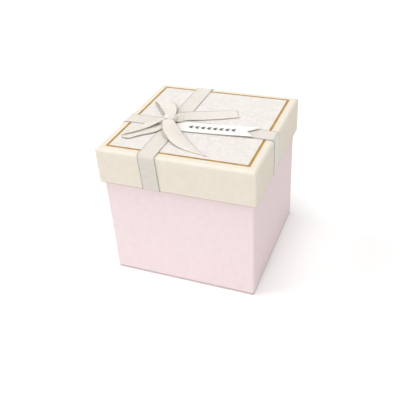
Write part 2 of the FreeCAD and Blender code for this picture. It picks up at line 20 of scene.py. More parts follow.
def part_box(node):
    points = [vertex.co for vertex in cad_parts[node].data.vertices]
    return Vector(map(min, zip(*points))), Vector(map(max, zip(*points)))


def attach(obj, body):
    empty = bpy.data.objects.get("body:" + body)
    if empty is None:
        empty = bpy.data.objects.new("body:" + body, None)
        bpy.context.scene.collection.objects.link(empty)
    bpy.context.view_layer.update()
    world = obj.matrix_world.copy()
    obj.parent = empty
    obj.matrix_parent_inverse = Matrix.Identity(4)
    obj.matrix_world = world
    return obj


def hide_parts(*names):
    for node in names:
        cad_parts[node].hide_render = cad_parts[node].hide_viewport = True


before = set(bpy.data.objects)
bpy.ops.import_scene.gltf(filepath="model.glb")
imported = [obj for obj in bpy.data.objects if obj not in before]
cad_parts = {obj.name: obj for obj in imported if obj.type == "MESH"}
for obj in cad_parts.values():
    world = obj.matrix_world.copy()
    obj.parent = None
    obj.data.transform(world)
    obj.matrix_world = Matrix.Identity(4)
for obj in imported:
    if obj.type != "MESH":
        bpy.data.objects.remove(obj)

MM: float = 0.001
TINY: float = 1e-12
LOG: logging.Logger = logging.getLogger("gift_box")
Number = float | np.ndarray
Span = tuple[float, float]
Point = tuple[float, float, float]
Colour = tuple[float, float, float, float]
Station = tuple[Point, Point]
Material = bpy.types.Material
Piece = bpy.types.Object
Socket = bpy.types.NodeSocket
EVEN: Point = (1.0, 1.0, 1.0)


class Body(Enum):
    """The two bodies that the lid's joint moves apart."""

    BASE = "base"
    LID = "lid"


class Held(Enum):
    """How a ribbon is kept in its shape."""

    LAID = "laid"
    FOLDED = "folded"
    GATHERED = "gathered"
    STRETCHED = "stretched"


class Slot(Enum):
    """Material slot names for the new pieces, passed along but not read."""

    CREAM = "cream_paper"
    PINK = "pink_paper"
    STRAP = "flat_ribbon"
    BOW = "bow_ribbon"
    TAG = "tag_card"


class Run(Enum):
    """The way a flat ribbon runs over the lid."""

    FRONT_BACK = "front_back"
    LEFT_RIGHT = "left_right"


def tone(red: float, green: float, blue: float, level: float = 1.0) -> Colour:
    """Turn a screen colour into a linear one, by the usual curve of screens.

    Args:
        red: Red from 0 to 255.
        green: Green from 0 to 255.
        blue: Blue from 0 to 255.
        level: Factor on the linear values.

    Returns:
        Linear red, green, blue and an alpha of 1.
    """
    parts = []
    for value in (red, green, blue):
        share = value / 255.0
        linear = share / 12.92 if share <= 0.04045 else ((share + 0.055) / 1.055) ** 2.4
        parts.append(linear * level)
    return (parts[0], parts[1], parts[2], 1.0)


def smooth_step(value: Number, low: float, high: float) -> Number:
    """Rise from 0 at low to 1 at high, level at both ends."""
    share = np.clip((value - low) / (high - low), 0.0, 1.0)
    return share * share * (3.0 - 2.0 * share)


def natural_spline(knots: np.ndarray, values: np.ndarray, wanted: np.ndarray) -> np.ndarray:
    """Smooth curve through given values.

    Args:
        knots: Rising parameter of each given value, shape (n,).
        values: Given values, shape (n, k).
        wanted: Parameters to read the curve at.

    Returns:
        Values of the natural cubic spline, shape (len(wanted), k).
    """
    count = len(knots)
    step = np.diff(knots)
    system = np.eye(count)
    right = np.zeros_like(values)
    for i in range(1, count - 1):
        system[i, i - 1:i + 2] = (step[i - 1], 2.0 * (step[i - 1] + step[i]), step[i])
        slopes = np.diff(values[i - 1:i + 2], axis=0) / step[i - 1:i + 1, None]
        right[i] = 6.0 * (slopes[1] - slopes[0])
    curve = np.linalg.solve(system, right)
    place = np.clip(np.searchsorted(knots, wanted, side="right") - 1, 0, count - 2)
    width = step[place][:, None]
    after = (wanted - knots[place])[:, None]
    before = (knots[place + 1] - wanted)[:, None]
    cubic = (curve[place] * before ** 3 + curve[place + 1] * after ** 3) / (6.0 * width)
    start = (values[place] / width - curve[place] * width / 6.0) * before
    end = (values[place + 1] / width - curve[place + 1] * width / 6.0) * after
    return cubic + start + end


def turned(x: Number, y: Number, turn: float) -> tuple[Number, Number]:
    """Turn a plan point about the middle by an angle in radians."""
    return (x * math.cos(turn) - y * math.sin(turn), x * math.sin(turn) + y * math.cos(turn))


def arc(centre: Span, radius: float, sweep: Span, steps: int) -> list[Span]:
    """Points round an arc.

    Args:
        centre: Its two coordinates.
        radius: Radius.
        sweep: First and last angle in degrees, 0 along the first coordinate and 90 along the second.
        steps: Number of steps.

    Returns:
        The two coordinates of each point.
    """
    first, second = centre
    angles = np.radians(np.linspace(*sweep, steps + 1))
    return [(first + radius * math.cos(angle), second + radius * math.sin(angle)) for angle in angles]


def surface_normals(middle: np.ndarray, ring: bool = False) -> np.ndarray:
    """Unit normals of a grid of points.

    Args:
        middle: The points, one row per step along the sheet.
        ring: Whether the last row joins the first.

    Returns:
        A normal for each point.
    """
    if ring:
        run = np.gradient(np.concatenate((middle[-1:], middle, middle[:1])), axis=0)[1:-1]
    else:
        run = np.gradient(middle, axis=0)
    normal = np.cross(run, np.gradient(middle, axis=1))
    return normal / np.maximum(np.linalg.norm(normal, axis=2, keepdims=True), TINY)


@dataclass(frozen=True)
class Grain:
    """A noise in a finish: repeats per metre, octaves, the span drawn out from 0 to 1, and its stretch."""

    scale: float
    detail: float = 2.0
    low: float = 0.0
    high: float = 1.0
    stretch: Point = EVEN


class Graph:
    """One material's node tree, with shorthand for the nodes that the finishes share."""

    # A Mix node has several sockets of one name, so these are found by number.
    SHARE, FIRST_VALUE, SECOND_VALUE, FIRST_COLOUR, SECOND_COLOUR = 0, 2, 3, 6, 7
    MIXED_VALUE, MIXED_COLOUR = 0, 2

    def __init__(self, name: str) -> None:
        """Start a material with a Principled shader.

        Args:
            name: Name of the material.
        """
        self.material: Material = bpy.data.materials.new(name)
        self.material.use_nodes = True
        self.tree: bpy.types.NodeTree = self.material.node_tree
        self.shader: bpy.types.Node = self.tree.nodes["Principled BSDF"]

    def add(self, kind: str, inputs: dict[object, object], **settings: object) -> bpy.types.Node:
        """Add a node and feed its inputs.

        Args:
            kind: Blender's name of the node type.
            inputs: Sockets or plain values, by the name or number of the input.
            **settings: Properties to set on the node first.

        Returns:
            The new node.
        """
        node = self.tree.nodes.new(kind)
        for name, value in settings.items():
            setattr(node, name, value)
        for name, value in inputs.items():
            self.feed(node.inputs[name], value)
        return node

    def feed(self, socket: Socket, value: object) -> None:
        """Link a socket to another one, or set it to a plain value.

        Args:
            socket: Input to feed.
            value: Output socket or plain value.
        """
        if isinstance(value, Socket):
            self.tree.links.new(value, socket)
        else:
            socket.default_value = value

    def set(self, **values: object) -> None:
        """Set or link shader inputs, with underscores for the spaces in their names."""
        for name, value in values.items():
            self.feed(self.shader.inputs[name.replace("_", " ")], value)

    def maths(self, operation: str, *values: object) -> Socket:
        """Add a Math node of the given operation on sockets or numbers."""
        return self.add("ShaderNodeMath", dict(enumerate(values)), operation=operation).outputs[0]

    def ramp(self, value: object, low: float, high: float) -> Socket:
        """Map a value smoothly, from 0 at low to 1 at high."""
        ends = {"Value": value, "From Min": low, "From Max": high}
        return self.add("ShaderNodeMapRange", ends, interpolation_type="SMOOTHSTEP").outputs["Result"]

    def scale(self, value: object, low: float, high: float) -> Socket:
        """Map a value evenly, from low at 0 to high at 1."""
        ends = {"Value": value, "To Min": low, "To Max": high}
        return self.add("ShaderNodeMapRange", ends).outputs["Result"]

    def place(self, uv: bool = False, stretch: Point = EVEN) -> Socket:
        """Give a point on the piece, in metres.

        Args:
            uv: Whether to read the length and width along the sheet, or the object's frame.
            stretch: Factors on the three values.

        Returns:
            A vector socket.
        """
        source = self.add("ShaderNodeTexCoord", {}).outputs["UV" if uv else "Object"]
        if stretch == EVEN:
            return source
        return self.add("ShaderNodeMapping", {"Vector": source, "Scale": stretch}).outputs["Vector"]

    def parts(self, vector: Socket) -> tuple[Socket, ...]:
        """Split a vector into its three values."""
        return tuple(self.add("ShaderNodeSeparateXYZ", {0: vector}).outputs)

    def noise(self, grain: Grain, uv: bool = False) -> Socket:
        """Add a noise, in the object's frame or along the sheet."""
        look = {"Vector": self.place(uv, grain.stretch), "Scale": grain.scale, "Detail": grain.detail}
        return self.add("ShaderNodeTexNoise", look).outputs[0]

    def spots(self, grain: Grain, uv: bool = False) -> Socket:
        """Draw out the grain's own span of its noise from 0 to 1."""
        return self.ramp(self.noise(grain, uv), grain.low, grain.high)

    def blend(self, share: object, first: object, second: object) -> Socket:
        """Mix two colours by the share of the second."""
        colours = {self.SHARE: share, self.FIRST_COLOUR: first, self.SECOND_COLOUR: second}
        return self.add("ShaderNodeMix", colours, data_type="RGBA").outputs[self.MIXED_COLOUR]

    def pick(self, share: object, first: object, second: object) -> Socket:
        """Mix two values by the share of the second."""
        values = {self.SHARE: share, self.FIRST_VALUE: first, self.SECOND_VALUE: second}
        return self.add("ShaderNodeMix", values).outputs[self.MIXED_VALUE]

    def bump(self, height: object, depth: float) -> Socket:
        """Add a bump that is as deep as given, in metres, at a height of 1."""
        return self.add("ShaderNodeBump", {"Height": height, "Distance": depth}).outputs["Normal"]


class Finish(Protocol):
    """A finish that can become a material."""

    def build(self) -> Material:
        """Build the material."""


@dataclass(frozen=True)
class PaperFinish:
    """Covering or lining paper: mottled colour, fibres, folds paler where scuffed (in places a painted
    highlight) and painted shade at some folds.
    """

    name: str
    colour: Colour
    cloud: Colour
    # Paler tone of scuffed folds: real scuffing, and on the lid's top edges and above the base's foot also
    # a painted highlight.
    rubbed_and_highlight: Colour
    roughness: Span = (0.64, 0.8)
    # Painted shade: a darker tone drawn where shadow falls, along the lid's lower fold and round the base's
    # foot.
    painted_shade_colour: Colour = tone(196, 180, 174, 0.8)
    specular: float = 0.3
    clouds: Grain = Grain(190.0, 3.0, 0.3, 0.75)
    flecks: Grain = Grain(900.0, 2.0, 0.55, 0.8, (1.0, 1.0, 0.35))
    fleck_share: float = 0.35
    patches: Grain = Grain(120.0)
    patch_shares: Span = (0.2, 0.9)
    gloss: Grain = Grain(260.0)
    fibres: Grain = Grain(1260.0, 4.0, stretch=(1.0, 1.0, 0.3))
    fibre_depth: float = 0.018 * MM

    def colour_socket(self, graph: Graph) -> Socket:
        """Mix the paper's clouds, flecks, paler scuffed folds (in places painted highlight) and painted
        shade into one colour.

        Args:
            graph: Material to add the nodes to.

        Returns:
            The colour socket.
        """
        mottled = graph.blend(graph.spots(self.clouds), self.colour, self.cloud)
        flecks = graph.maths("MULTIPLY", graph.spots(self.flecks), self.fleck_share)
        flecked = graph.blend(flecks, mottled, self.cloud)
        wear_and_painted_light = graph.add("ShaderNodeAttribute", {}, attribute_name="wear_and_painted_light").outputs["Fac"]
        patchy = graph.scale(graph.noise(self.patches), *self.patch_shares)
        # Above 0 folds turn paler, as scuffing and in places painted highlight; below 0 they get painted
        # shade.
        rub_and_light = graph.blend(graph.maths("MULTIPLY", wear_and_painted_light, patchy), flecked, self.rubbed_and_highlight)
        return graph.blend(graph.maths("MULTIPLY", wear_and_painted_light, -1.0), rub_and_light, self.painted_shade_colour)

    def finish(self, graph: Graph) -> Material:
        """Add roughness and fibre bump.

        Args:
            graph: Material with its colour already fed.

        Returns:
            The finished material.
        """
        graph.set(Roughness=graph.scale(graph.noise(self.gloss), *self.roughness))
        graph.set(Specular_IOR_Level=self.specular)
        graph.set(Normal=graph.bump(graph.noise(self.fibres), self.fibre_depth))
        return graph.material

    def build(self) -> Material:
        """Build the paper.

        Returns:
            The finished material.
        """
        graph = Graph(self.name)
        graph.set(Base_Color=self.colour_socket(graph))
        return self.finish(graph)


@dataclass(frozen=True)
class PanelFinish:
    """Pale sheet printed with a faint basket weave of short strokes, each of its own tone."""

    paper: PaperFinish
    ink: Colour
    block: float = 5.4 * MM
    strokes: int = 3
    gap_share: float = 0.12

    def build(self) -> Material:
        """Build the printed sheet.

        Returns:
            The finished material.
        """
        graph = Graph(self.paper.name)
        across, along, _ = graph.parts(graph.place())
        column = graph.maths("FLOOR", graph.maths("DIVIDE", across, self.block))
        row = graph.maths("FLOOR", graph.maths("DIVIDE", along, self.block))
        upright = graph.maths("FLOORED_MODULO", graph.maths("ADD", column, row), 2.0)
        fine = [graph.maths("DIVIDE", value, self.block / self.strokes) for value in (across, along)]
        stroke = graph.add("ShaderNodeCombineXYZ", {
            0: graph.pick(upright, column, graph.maths("FLOOR", fine[0])),
            1: graph.pick(upright, graph.maths("FLOOR", fine[1]), row),
            2: upright,
        })
        toss = graph.add("ShaderNodeTexWhiteNoise", {"Vector": stroke.outputs[0]}).outputs["Value"]
        edge = graph.maths("FRACT", graph.pick(upright, fine[1], fine[0]))
        away = graph.maths("ABSOLUTE", graph.maths("SUBTRACT", edge, 0.5))
        gap = graph.ramp(away, 0.5 - self.gap_share, 0.5)
        inked = graph.maths("MULTIPLY", toss, graph.maths("SUBTRACT", 1.0, gap))
        graph.set(Base_Color=graph.blend(inked, self.paper.colour_socket(graph), self.ink))
        return self.paper.finish(graph)


@dataclass(frozen=True)
class RibbonFinish:
    """Woven ribbon: fine ribs across, floats along, and a darker thread at each edge."""

    name: str
    colour: Colour
    shade: Colour
    thread: Colour
    thread_edge: Span = (6.53 * MM, 6.75 * MM)
    thread_shares: Span = (0.72, 1.1)
    rib_pitch: float = 0.95 * MM
    rib_heights: Span = (0.25, 0.75)
    rib_share: float = 0.35
    floats: Grain = Grain(3200.0, 2.0, stretch=(0.06, 1.0, 1.0))
    float_share: float = 0.4
    slubs: Grain = Grain(700.0, 3.0, 0.4, 0.72, (1.0, 0.08, 1.0))
    slub_share: float = 0.5
    weave_depth: float = 0.05 * MM
    roughness: Span = (0.4, 0.62)
    specular: float = 0.35
    sheen: float = 0.25
    sheen_roughness: float = 0.4
    glow: float = 0.8
    glow_depth: float = 0.6 * MM
    glow_reach: Point = (1.0, 0.85, 0.6)

    def build(self) -> Material:
        """Build the ribbon's weave.

        Returns:
            The finished material.
        """
        graph = Graph(self.name)
        along, across, _ = graph.parts(graph.place(uv=True))
        border = graph.ramp(graph.maths("ABSOLUTE", across), *self.thread_edge)
        turns = graph.maths("MULTIPLY", along, 2.0 * math.pi / self.rib_pitch)
        ribs = graph.scale(graph.maths("SINE", turns), *self.rib_heights)
        floats = graph.noise(self.floats, uv=True)
        streaks = graph.maths("MULTIPLY", graph.spots(self.slubs, uv=True), self.slub_share)
        dips = graph.maths("MULTIPLY", graph.maths("SUBTRACT", 1.0, ribs), self.rib_share)
        silk = graph.blend(graph.maths("ADD", streaks, dips), self.colour, self.shade)
        threads = graph.maths("MULTIPLY", border, graph.scale(ribs, *self.thread_shares))
        graph.set(Base_Color=graph.blend(threads, silk, self.thread))
        graph.set(Roughness=graph.scale(floats, *self.roughness), Specular_IOR_Level=self.specular)
        graph.set(Sheen_Weight=self.sheen, Sheen_Roughness=self.sheen_roughness)
        graph.set(Subsurface_Weight=self.glow, Subsurface_Scale=self.glow_depth)
        graph.set(Subsurface_Radius=self.glow_reach)
        graph.set(Normal=graph.bump(graph.pick(self.float_share, ribs, floats), self.weave_depth))
        return graph.material


@dataclass(frozen=True)
class FoilFinish:
    """Stamped gold foil with a fine grain and slightly uneven lustre."""

    name: str
    colour: Colour
    deep: Colour
    roughness: Span = (0.42, 0.62)
    patches: Grain = Grain(140.0, 4.0, 0.35, 0.7)
    gloss: Grain = Grain(900.0)
    stipple: Grain = Grain(2600.0)
    stipple_depth: float = 0.01 * MM

    def build(self) -> Material:
        """Build the foil.

        Returns:
            The finished material.
        """
        graph = Graph(self.name)
        graph.set(Base_Color=graph.blend(graph.spots(self.patches), self.colour, self.deep), Metallic=1.0)
        graph.set(Roughness=graph.scale(graph.noise(self.gloss), *self.roughness))
        graph.set(Normal=graph.bump(graph.noise(self.stipple), self.stipple_depth))
        return graph.material


@dataclass(frozen=True)
class BoardFinish:
    """Greyboard: recycled fibre, stained in patches, with a net of pale fibres."""

    name: str
    colour: Colour
    dark: Colour
    pale: Colour
    roughness: Span = (0.8, 0.98)
    specular: float = 0.2
    stains: Grain = Grain(90.0, 3.0, 0.35, 0.7)
    net_scale: float = 700.0
    net_edge: Span = (0.06, 0.02)
    net_share: float = 0.5
    fibres: Grain = Grain(1100.0, 4.0)
    fibre_depth: float = 0.06 * MM

    def build(self) -> Material:
        """Build the board.

        Returns:
            The finished material.
        """
        graph = Graph(self.name)
        fibres = graph.noise(self.fibres)
        body = graph.blend(graph.spots(self.stains), self.colour, self.dark)
        cells = {"Vector": graph.place(), "Scale": self.net_scale}
        net = graph.add("ShaderNodeTexVoronoi", cells, feature="DISTANCE_TO_EDGE").outputs[0]
        pale = graph.maths("MULTIPLY", graph.ramp(net, *self.net_edge), self.net_share)
        graph.set(Base_Color=graph.blend(pale, body, self.pale), Specular_IOR_Level=self.specular)
        graph.set(Roughness=graph.scale(fibres, *self.roughness))
        graph.set(Normal=graph.bump(fibres, self.fibre_depth))
        return graph.material


@dataclass(frozen=True)
class GlueFinish:
    """Set hot glue: milky, smooth, with shallow ripples."""

    name: str
    colour: Colour
    cloud: Colour
    roughness: Span = (0.28, 0.43)
    clouds: Grain = Grain(300.0, 3.0, 0.3, 0.7)
    glow: float = 0.2
    glow_depth: float = 1.5 * MM
    ripples: Grain = Grain(450.0)
    ripple_depth: float = 0.1 * MM

    def build(self) -> Material:
        """Build the glue.

        Returns:
            The finished material.
        """
        graph = Graph(self.name)
        clouds = graph.spots(self.clouds)
        graph.set(Base_Color=graph.blend(clouds, self.colour, self.cloud))
        graph.set(Roughness=graph.scale(clouds, *self.roughness))
        graph.set(Subsurface_Weight=self.glow, Subsurface_Scale=self.glow_depth)
        graph.set(Normal=graph.bump(graph.noise(self.ripples), self.ripple_depth))
        return graph.material


@dataclass(frozen=True)
class TagFinish:
    """Smooth white card printed with a row of slanted leaves on a thin stem."""

    paper: PaperFinish
    ink: Colour
    first_leaf: float = 11.0 * MM
    last_leaf: float = 51.0 * MM
    end_blur: float = 0.1 * MM
    pitch: float = 5.0 * MM
    leaf_height: float = 2.3 * MM
    leaf_foot: float = 0.12
    leaf_belly: float = 0.96
    leaf_edge: Span = (-0.02, 0.03)
    slant: float = 0.75
    stem_edge: Span = (0.208 * MM, 0.112 * MM)

    def build(self) -> Material:
        """Build the printed card.

        Returns:
            The finished material.
        """
        graph = Graph(self.paper.name)
        along, across, _ = graph.parts(graph.place(uv=True))
        side = graph.maths("ABSOLUTE", across)
        sheared = graph.maths("SUBTRACT", along, graph.maths("MULTIPLY", side, self.slant))
        turn = graph.maths("DIVIDE", graph.maths("SUBTRACT", sheared, self.first_leaf), self.pitch)
        off = graph.maths("ABSOLUTE", graph.maths("SUBTRACT", graph.maths("FRACT", turn), 0.5))
        height = graph.maths("DIVIDE", side, self.leaf_height)
        above = graph.maths("ADD", height, self.leaf_foot)
        belly = graph.maths("MULTIPLY", graph.maths("SUBTRACT", 1.0, height), above)
        room = graph.maths("SUBTRACT", graph.maths("MULTIPLY", belly, self.leaf_belly), off)
        leaves = graph.ramp(room, *self.leaf_edge)
        sprig = graph.maths("MAXIMUM", leaves, graph.ramp(side, *self.stem_edge))
        begun = graph.ramp(along, self.first_leaf - self.end_blur, self.first_leaf + self.end_blur)
        ended = graph.ramp(along, self.last_leaf + self.end_blur, self.last_leaf - self.end_blur)
        printed = graph.maths("MULTIPLY", sprig, graph.maths("MULTIPLY", begun, ended))
        graph.set(Base_Color=graph.blend(printed, self.paper.colour_socket(graph), self.ink))
        return self.paper.finish(graph)


@dataclass(frozen=True)
class FloorFinish:
    """Seamless matt paper floor."""

    name: str
    colour: Colour
    tooth: Grain = Grain(700.0)
    tooth_depth: float = 0.01 * MM

    def build(self) -> Material:
        """Build the floor.

        Returns:
            The finished material.
        """
        graph = Graph(self.name)
        graph.set(Base_Color=self.colour, Roughness=1.0, Specular_IOR_Level=0.0)
        graph.set(Normal=graph.bump(graph.noise(self.tooth), self.tooth_depth))
        return graph.material


@dataclass(frozen=True)
class Palette:
    """Every finish of the box."""

    pink: PaperFinish = PaperFinish(
        "pink_paper", tone(247, 229, 231, 0.885), tone(244, 225, 227, 0.885), tone(251, 239, 239, 0.89))
    cream: PaperFinish = PaperFinish(
        "cream_paper", tone(252, 243, 228, 0.79), tone(248, 238, 221, 0.79), tone(254, 249, 239, 0.805))
    lining: PaperFinish = PaperFinish(
        "white_lining", tone(240, 237, 231, 0.94), tone(231, 227, 219, 0.94), tone(246, 244, 240, 0.94))
    panel_paper: PaperFinish = PaperFinish(
        "panel_paper", tone(240, 235, 231, 0.893), tone(237, 232, 228, 0.893), tone(244, 240, 237, 0.9))
    panel: PanelFinish = PanelFinish(panel_paper, tone(228, 222, 217, 0.893))
    foil: FoilFinish = FoilFinish("gold_foil", tone(200, 160, 78, 0.68), tone(176, 136, 60, 0.68))
    strap: RibbonFinish = RibbonFinish(
        "flat_ribbon", tone(234, 226, 216, 0.88), tone(223, 214, 204, 0.88), tone(172, 166, 161, 0.9))
    bow: RibbonFinish = RibbonFinish(
        "bow_ribbon", tone(247, 239, 230, 0.835), tone(235, 225, 213, 0.825), tone(185, 179, 173, 0.9))
    board: BoardFinish = BoardFinish(
        "greyboard", tone(150, 146, 140), tone(128, 124, 119), tone(188, 184, 176))
    tape: PaperFinish = PaperFinish(
        "stay_tape", tone(196, 170, 128), tone(180, 150, 108), tone(206, 184, 146), roughness=(0.52, 0.68))
    glue: GlueFinish = GlueFinish("hot_glue", tone(232, 226, 214), tone(214, 204, 186))
    card: PaperFinish = PaperFinish(
        "tag_card", tone(249, 247, 243, 0.9), tone(246, 243, 238, 0.9), tone(250, 248, 244, 0.9),
        roughness=(0.42, 0.58))
    tag: TagFinish = TagFinish(card, tone(70, 66, 66))
    floor: FloorFinish = FloorFinish("studio_floor", tone(250, 250, 250))


def make_object(name: str, points: np.ndarray, faces: Sequence[Sequence[int]], material: Material) -> Piece:
    """Make a smooth mesh object.

    Args:
        name: Piece name.
        points: Vertices in metres, shape (n, 3).
        faces: Vertex numbers of each face.
        material: Finish of the whole piece.

    Returns:
        The object, linked to the scene.
    """
    mesh = bpy.data.meshes.new(name)
    mesh.from_pydata([tuple(point) for point in points], [], [tuple(face) for face in faces])
    mesh.polygons.foreach_set("use_smooth", [True] * len(mesh.polygons))
    mesh.materials.append(material)
    mesh.validate()
    mesh.update()
    piece = bpy.data.objects.new(name, mesh)
    bpy.context.scene.collection.objects.link(piece)
    return piece


def settle(piece: Piece, body: Body, node: str) -> Piece:
    """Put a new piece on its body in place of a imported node.

    Args:
        piece: The piece, in its place.
        body: Body it moves with.
        node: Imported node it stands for.

    Returns:
        The same piece.
    """
    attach(piece, body.value)
    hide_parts(node)
    LOG.info("%s: %d faces on %s", piece.name, len(piece.data.polygons), body.value)
    return piece


def knot_middle() -> Vector:
    """Middle of the bow's knot, in millimetres."""
    low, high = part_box("bow_knot")
    return (low + high) / 2.0 / MM


@dataclass(frozen=True)
class SheetGrid:
    """A thin closed solid grown from a grid of middle points, in metres."""

    middle: np.ndarray
    half_thick: np.ndarray
    along: np.ndarray
    across: np.ndarray
    ring: bool = False

    def build(self, name: str, material: Material) -> Piece:
        """Make the solid with the length and width along the sheet as its UV map.

        Args:
            name: Piece name.
            material: Finish.

        Returns:
            The object.
        """
        rows, columns, _ = self.middle.shape
        offset = surface_normals(self.middle, self.ring) * self.half_thick[..., None]
        skins = (self.middle + offset, self.middle - offset)
        points = np.concatenate([skin.reshape(-1, 3) for skin in skins])
        under = rows * columns
        last = columns - 1
        faces: list[tuple[int, ...]] = []
        for i in range(rows if self.ring else rows - 1):
            here, there = i * columns, ((i + 1) % rows) * columns
            for j in range(last):
                top = (here + j, there + j, there + j + 1, here + j + 1)
                faces.append(top)
                faces.append(tuple(under + k for k in reversed(top)))
            faces.append((here, under + here, under + there, there))
            faces.append((here + last, there + last, under + there + last, under + here + last))
        if not self.ring:
            end = (rows - 1) * columns
            for j in range(last):
                faces.append((j, j + 1, under + j + 1, under + j))
                faces.append((end + j, under + end + j, under + end + j + 1, end + j + 1))
        piece = make_object(name, points, faces, material)
        self.map_surface(piece.data)
        return piece

    def map_surface(self, mesh: bpy.types.Mesh) -> None:
        """Write the length and width along the sheet into the UV map.

        Args:
            mesh: The solid's mesh.
        """
        flat = np.stack((self.along, self.across), axis=2).reshape(-1, 2)
        flat = np.concatenate((flat, flat))
        layer = mesh.uv_layers.new(name="surface")
        corner = np.empty(len(mesh.loops), dtype=np.int64)
        mesh.loops.foreach_get("vertex_index", corner)
        layer.data.foreach_set("uv", flat[corner].ravel())


@dataclass(frozen=True)
class RibbonWeb:
    """Cross-section of the woven ribbon: a thin web with a corded thread in each edge."""

    width: float = 15.0
    half_thick: float = 0.11
    cord: float = 0.2
    cord_swell: Span = (0.86, 0.93)
    rim: float = 0.05
    rim_from: float = 0.955
    places: tuple[float, ...] = (0.0, 0.16, 0.32, 0.48, 0.62, 0.74, 0.83, 0.885, 0.925, 0.96, 0.985, 1.0)

    def shares(self) -> np.ndarray:
        """Places across the ribbon, from -1 to 1, close together at the edges."""
        half = np.array(self.places)
        return np.concatenate((-half[:0:-1], half))

    def thickness(self) -> np.ndarray:
        """Half thickness across the ribbon, in millimetres.

        Returns:
            One value for each of the shares.
        """
        reach = np.abs(self.shares())
        corded = self.half_thick + (self.cord - self.half_thick) * smooth_step(reach, *self.cord_swell)
        return corded + (self.rim - corded) * smooth_step(reach, self.rim_from, 1.0)

    def sheet(self, middle: np.ndarray, ring: bool) -> SheetGrid:
        """Thicken a surface of middle points into ribbon.

        Args:
            middle: Points in millimetres, one row per step along the ribbon.
            ring: Whether the last row joins the first.

        Returns:
            The sheet in metres.
        """
        rows, columns, _ = middle.shape
        steps = np.linalg.norm(np.diff(middle, axis=0), axis=2).mean(axis=1)
        travelled = np.concatenate(((0.0,), np.cumsum(steps)))
        along = np.repeat(travelled[:, None], columns, axis=1)
        across = np.repeat((self.shares() * self.width / 2.0)[None, :], rows, axis=0)
        thick = np.repeat(self.thickness()[None, :], rows, axis=0)
        return SheetGrid(middle * MM, thick * MM, along * MM, across * MM, ring)

    def settle(self, name: str, node: str, slot: Slot, material: Material, middle: np.ndarray,
               held: Held, rests_on: str, ring: bool = False) -> Piece:
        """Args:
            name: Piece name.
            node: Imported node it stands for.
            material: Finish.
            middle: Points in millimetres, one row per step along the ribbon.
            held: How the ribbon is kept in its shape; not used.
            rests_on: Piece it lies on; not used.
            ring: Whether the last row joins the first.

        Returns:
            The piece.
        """
        sheet = self.sheet(middle, ring)
        piece = sheet.build(name, material)
        return settle(piece, Body.LID, node)


@dataclass(frozen=True)
class Ring:
    """One rounded square of a paper cover, in millimetres; above 0 it is scuffed paler (in places a painted
    highlight), below 0 it gets painted shade.
    """

    half: float
    height: float
    wear_and_painted_light: float = 0.0
    outer: bool = False


def bend(centre: Span, radius: float, sweep: Span, steps: int, wear_and_painted_light: float = 0.0,
         outer: bool = False) -> list[Ring]:
    """Rings round a fold.

    Args:
        centre: Half width and height at the fold's centre.
        radius: Radius of the fold.
        sweep: First and last angle in degrees, 0 outwards and 90 up.
        steps: Number of steps.
        wear_and_painted_light: How much the fold is scuffed paler, in places as painted highlight; below 0,
            how much painted shade it gets.
        outer: Whether it is on the outside.

    Returns:
        The rings in order.
    """
    return [Ring(half, height, wear_and_painted_light, outer) for half, height in arc(centre, radius, sweep, steps)]


def rise(half: float, low: float, high: float, steps: int, outer: bool = False) -> list[Ring]:
    """Rings up or down a wall in even steps, without its two ends."""
    return [Ring(half, float(height), 0.0, outer) for height in np.linspace(low, high, steps + 1)[1:-1]]


